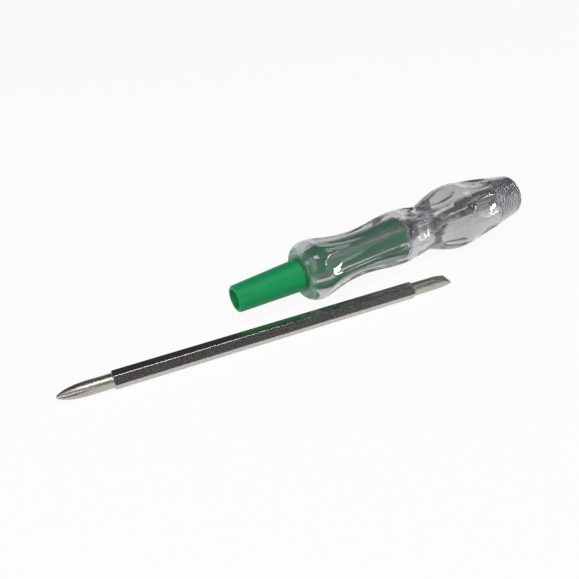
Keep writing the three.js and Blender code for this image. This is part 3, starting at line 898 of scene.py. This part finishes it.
# End cap: a nickel-plated brass plug with a coarse thread, screwed into the grip. A finger on
# its slotted head closes the test circuit, and the spring seats in its hollow front.
cap_thread_pitch = 1.0
cap_thread_radius = 5.3
cap_thread_depth = 0.25
cap_thread_root = cap_thread_radius - cap_thread_depth
cap_thread_lead = 0.8
cap_thread_start = 0.25
cap_thread_end = 0.3
cap_neck = 0.2
cap_front = 108.0
cap_front_chamfer = 0.3
spring_seat_radius = 2.75
spring_seat_depth = 2.2
spring_seat_edge = 0.2
cap_proud = 0.5
cap_end = grip_end + cap_proud
cap_crown = 0.45
cap_face_radius = 4.6
cap_slot_width = 1.2
cap_slot_depth = 0.8
cap_angles = [math.tau * column / 120 for column in range(120)]


def between(start, end, share):
    """The value at a share of the way from start to end."""
    return start + (end - start) * share


def thread_height(x, angle):
    """Height of the rounded right-hand thread over its root, from 0 to 1."""
    return 0.5 - 0.5 * math.cos(math.tau * x / cap_thread_pitch - angle)


def cap_radius(x, angle):
    """Distance from the axis to the cap's thread, which fades in from the front."""
    lead_in = min(1, (x - cap_front) / cap_thread_lead)
    return cap_thread_root + cap_thread_depth * lead_in * thread_height(x, angle)


cap_inside_profile = [
    (cap_front + spring_seat_depth, face_middle),
    (cap_front + spring_seat_depth, spring_seat_radius),
    (cap_front + spring_seat_edge, spring_seat_radius),
    (cap_front, spring_seat_radius + spring_seat_edge),
    (cap_front, cap_thread_root - cap_front_chamfer),
]
cap_head_profile = [
    (grip_end - cap_neck, cap_thread_root),
    (grip_end - cap_neck, cap_thread_radius),
    (cap_end - cap_crown, cap_thread_radius),
]
for turn in (0.3, 0.6, 0.9, 1.2):
    crown_x = cap_end - cap_crown * (1 - math.sin(turn))
    crown_radius = between(cap_face_radius, cap_thread_radius, math.cos(turn))
    cap_head_profile.append((crown_x, crown_radius))
cap_head_profile.append((cap_end, cap_face_radius))
cap_rings = round_rings(cap_inside_profile, cap_angles)
for x in steps(cap_front + cap_thread_start, grip_end - cap_thread_end, spacing=0.1):
    cap_rings.append(ring_at(x, lambda angle: cap_radius(x, angle), cap_angles))
cap_rings += round_rings(cap_head_profile, cap_angles)
end_cap = skin("threaded_end_cap", cap_rings, grip_place)

slot_half_width = cap_slot_width / 2
slot_reach = cap_thread_radius * 1.5
slot_cutter_top = cap_end + 1
slot_rings = [
    [(x, across * slot_reach, up * slot_half_width) for across, up in square]
    for x in (cap_end - cap_slot_depth, slot_cutter_top)
]
cut(end_cap, skin("slot_cutter", slot_rings, grip_place), grip_place)

# painted highlight and shade: the thread's crests are coloured bright as a painted highlight, and
# its roots dark as painted shade
crest_edge = 0.1
thread_nickel = finish("thread nickel", (0.6, 0.6, 0.62), Metallic=1.0)
root_shade_share = ranged(
    thread_nickel.node_tree, own_radius(thread_nickel),
    cap_thread_radius - crest_edge, cap_thread_root + crest_edge,
)
add_tones(thread_nickel, root_shade_share, (0.98, 0.97, 1.0), (0.22, 0.22, 0.25))
feed(thread_nickel, "Roughness", grain(thread_nickel, (1, 3, 3), 0.28, 0.42))
fit(end_cap, thread_nickel, "end_cap", "end_cap")


# Grip: clear plastic moulded round the sleeve, with six ridges, four sets of flutes between
# them, a plain bore for the lamp train and a threaded one for the end cap.
front_gap = 0.05
grip_front = nose_length + front_gap
grip_length = 94.6
grip_base = grip_end - grip_length
grip_face_radius = 7.0
guard_radius = 10.2
waist_radius = 7.82
middle_radius = 9.48
neck_radius = 8.23
palm_radius = 11.87
rear_radius = 7.8
rear_edge = 1.0
guard_share = 0.048
guard_fullness = 1.15
chamber_radius = 3.35
chamber_edge = 0.15
tube_squeeze = 0.05
tight_bore_radius = sleeve_radius - tube_squeeze
air_film = 0.2
film_start = 0.5
film_steepness = 2.5
collar_fit = 0.05
lip_fit = 0.08
lip_bore_radius = groove_radius + lip_fit
thread_clearance = 0.15
cap_bore_start = 107.7
bore_chamfer = 0.2
bore_end = 0.3

# where the outline over the ridges passes, as shares of the grip's length and radii
outline_shares = [
    (guard_share, guard_radius),
    (0.086, between(guard_radius, waist_radius, 0.14)),
    (0.131, between(guard_radius, waist_radius, 0.54)),
    (0.181, between(guard_radius, waist_radius, 0.87)),
    (0.244, waist_radius),
    (0.313, between(waist_radius, middle_radius, 0.36)),
    (0.364, between(waist_radius, middle_radius, 0.77)),
    (0.422, middle_radius),
    (0.481, between(middle_radius, neck_radius, 0.23)),
    (0.513, between(middle_radius, neck_radius, 0.72)),
    (0.54, neck_radius),
    (0.573, between(neck_radius, palm_radius, 0.2)),
    (0.618, between(neck_radius, palm_radius, 0.61)),
    (0.662, between(neck_radius, palm_radius, 0.9)),
    (0.706, palm_radius),
    (0.752, between(palm_radius, rear_radius, 0.09)),
    (0.829, between(palm_radius, rear_radius, 0.35)),
    (0.915, between(palm_radius, rear_radius, 0.68)),
    (1 - rear_edge / grip_length, rear_radius),
]

# where each set of flutes starts and ends, the share of its sixth that it spans, its depth,
# and how blunt its ends are
flute_set_shares = [
    (0.052, 0.417, 0.8, 0.097, 8),
    (0.434, 0.539, 0.72, 0.063, 4),
    (0.564, 0.693, 0.66, 0.072, 2.4),
    (0.715, 0.89, 0.68, 0.084, 2.3),
]


def from_flute_middle(angle):
    """How far an angle is from the middle of its flute: 0 there, and 1 on the ridge."""
    return abs(2 * ((angle / math.tau * 6) % 1) - 1)


def flute_depth(share, angle):
    """How much the flutes take off the outline."""
    deepest = 0.0
    for start, end, span, depth, blunt in flute_set_shares:
        from_middle = abs(2 * (share - start) / (end - start) - 1)
        left = 1 - from_middle**blunt - (from_flute_middle(angle) / span) ** 2
        deepest = max(deepest, depth * palm_radius * left)
    return deepest


def moulded_bore_radius(angle):
    """The bore round the tube: tight under the flutes, and drawn off it by a film of air
    under the ridges, where the thick plastic shrinks most."""
    film_share = film_steepness * (from_flute_middle(angle) - film_start)
    return tight_bore_radius + air_film * max(0, min(1, film_share))


def threaded_bore_radius(x, angle):
    """The bore that the end cap's thread runs in."""
    return cap_thread_root + thread_clearance + cap_thread_depth * thread_height(x, angle)


grip_angles = [math.tau * column / 180 for column in range(180)]


def fluted_ring(x, share, radius):
    """One ring of the grip's outside, its flutes taken off."""
    return ring_at(x, lambda angle: radius - flute_depth(share, angle), grip_angles)


guard_steps = 14
grip_rings = []
for step in range(guard_steps):
    turn = math.pi / 2 * step / guard_steps
    share = guard_share * (1 - math.cos(turn))
    x = grip_front if step == 0 else grip_base + share * grip_length
    radius = between(grip_face_radius, guard_radius, math.sin(turn) ** guard_fullness)
    grip_rings.append(fluted_ring(x, share, radius))
for place in steps(guard_share * grip_length, grip_length - rear_edge, spacing=0.5):
    share = place / grip_length
    radius = along_outline(outline_shares, share, level_start=True)
    grip_rings.append(fluted_ring(grip_base + place, share, radius))
rear_profile = []
for turn in (0, 0.2, 0.4, 0.6, 0.8, 1.0, 1.2, 1.4, math.pi / 2):
    rounded = rear_edge * (1 - math.cos(turn))
    rear_profile.append((grip_end - rear_edge + rear_edge * math.sin(turn), rear_radius - rounded))
thread_top = cap_thread_root + cap_thread_depth + thread_clearance
rear_profile += [(grip_end, thread_top + bore_chamfer), (grip_end - bore_chamfer, thread_top)]
grip_rings += round_rings(rear_profile, grip_angles)
for x in steps(grip_end - 2 * bore_chamfer, cap_bore_start + bore_end, spacing=0.1):
    grip_rings.append(ring_at(x, lambda angle: threaded_bore_radius(x, angle), grip_angles))
chamber_profile = [
    (cap_bore_start, cap_thread_root + thread_clearance),
    (cap_bore_start, chamber_radius + chamber_edge),
    (cap_bore_start - chamber_edge, chamber_radius),
    (chamber_start + bore_end, chamber_radius),
]
grip_rings += round_rings(chamber_profile, grip_angles)

# the moulded plastic ends unevenly where it met the tube's end
torn = random.Random(5)
torn_depth = 0.9
torn_edge = 0.1
torn_steps = 7
for step in range(1, torn_steps):
    radius = between(chamber_radius, tight_bore_radius - torn_edge, step / torn_steps)
    ring = ring_at(chamber_start, lambda angle: radius, grip_angles)
    grip_rings.append([(x + torn.uniform(0.0, torn_depth), y, z) for x, y, z in ring])

for x in (chamber_start - torn_edge, collar_end + collar_fit):
    grip_rings.append(ring_at(x, moulded_bore_radius, grip_angles))
collar_profile = [
    (collar_end + collar_fit, collar_radius + collar_fit),
    (collar_start - collar_fit, collar_radius + collar_fit),
    (collar_start - collar_fit, lip_bore_radius),
    (grip_front, lip_bore_radius),
]
grip_rings += round_rings(collar_profile, grip_angles)
grip = skin("clear_fluted_grip", grip_rings, grip_place, closed=True)

# the plain grey base colour is partly painted shade, like the tint below
clear = finish(
    "clear moulded plastic", (0.6, 0.6, 0.62), Roughness=0.03, IOR=1.49, Transmission_Weight=0.9
)
clear_tree = clear.node_tree
clear_radius = own_radius(clear)

# painted shade: the grey tint is partly the plastic's own faint grey and partly painted shade of
# the paper seen through the grip, darker from the thin waist to the thick palm
darkest_radius = palm_radius - 0.8
palm_shade_share = ranged(clear_tree, clear_radius, waist_radius, darkest_radius)
grey_tint_and_shade = mixed(clear_tree, palm_shade_share, (0.66, 0.665, 0.69), (0.48, 0.49, 0.5))

# painted reflection: the front is frosted, and its colour is painted green for the green sleeve
# seen through and mirrored in it
frosted_until, clear_from = grip_front + 0.9, grip_front + 1.9
clear_roughness, frosted_roughness = 0.03, 0.4
clear_along = shader_node(clear_tree, "ShaderNodeSeparateXYZ", {0: own_place(clear_tree)}, "X")
frost_and_green_reflection_share = ranged(clear_tree, clear_along, frosted_until, clear_from, 1.0, 0.0, "SMOOTHSTEP")
feed(clear, "Base Color", mixed(clear_tree, frost_and_green_reflection_share, grey_tint_and_shade, (0.42, 0.72, 0.56)))
front_frost = ranged(clear_tree, frost_and_green_reflection_share, 0.0, 1.0, clear_roughness, frosted_roughness)
feed(clear, "Roughness", front_frost)

# the flow lines of the moulding stand out inside, near the tube, and hardly outside
outside_relief = 0.12
near_tube, off_tube = sleeve_radius + 0.8, sleeve_radius + 1.4
bore_share = ranged(clear_tree, clear_radius, near_tube, off_tube, 1.0, outside_relief)
flow_lines = grain(clear, (0.15, 1.0, 1.0))
add_relief(clear, 0.07, maths(clear_tree, "MULTIPLY", bore_share, flow_lines))
fit(grip, clear, "handle", "handle_shell")
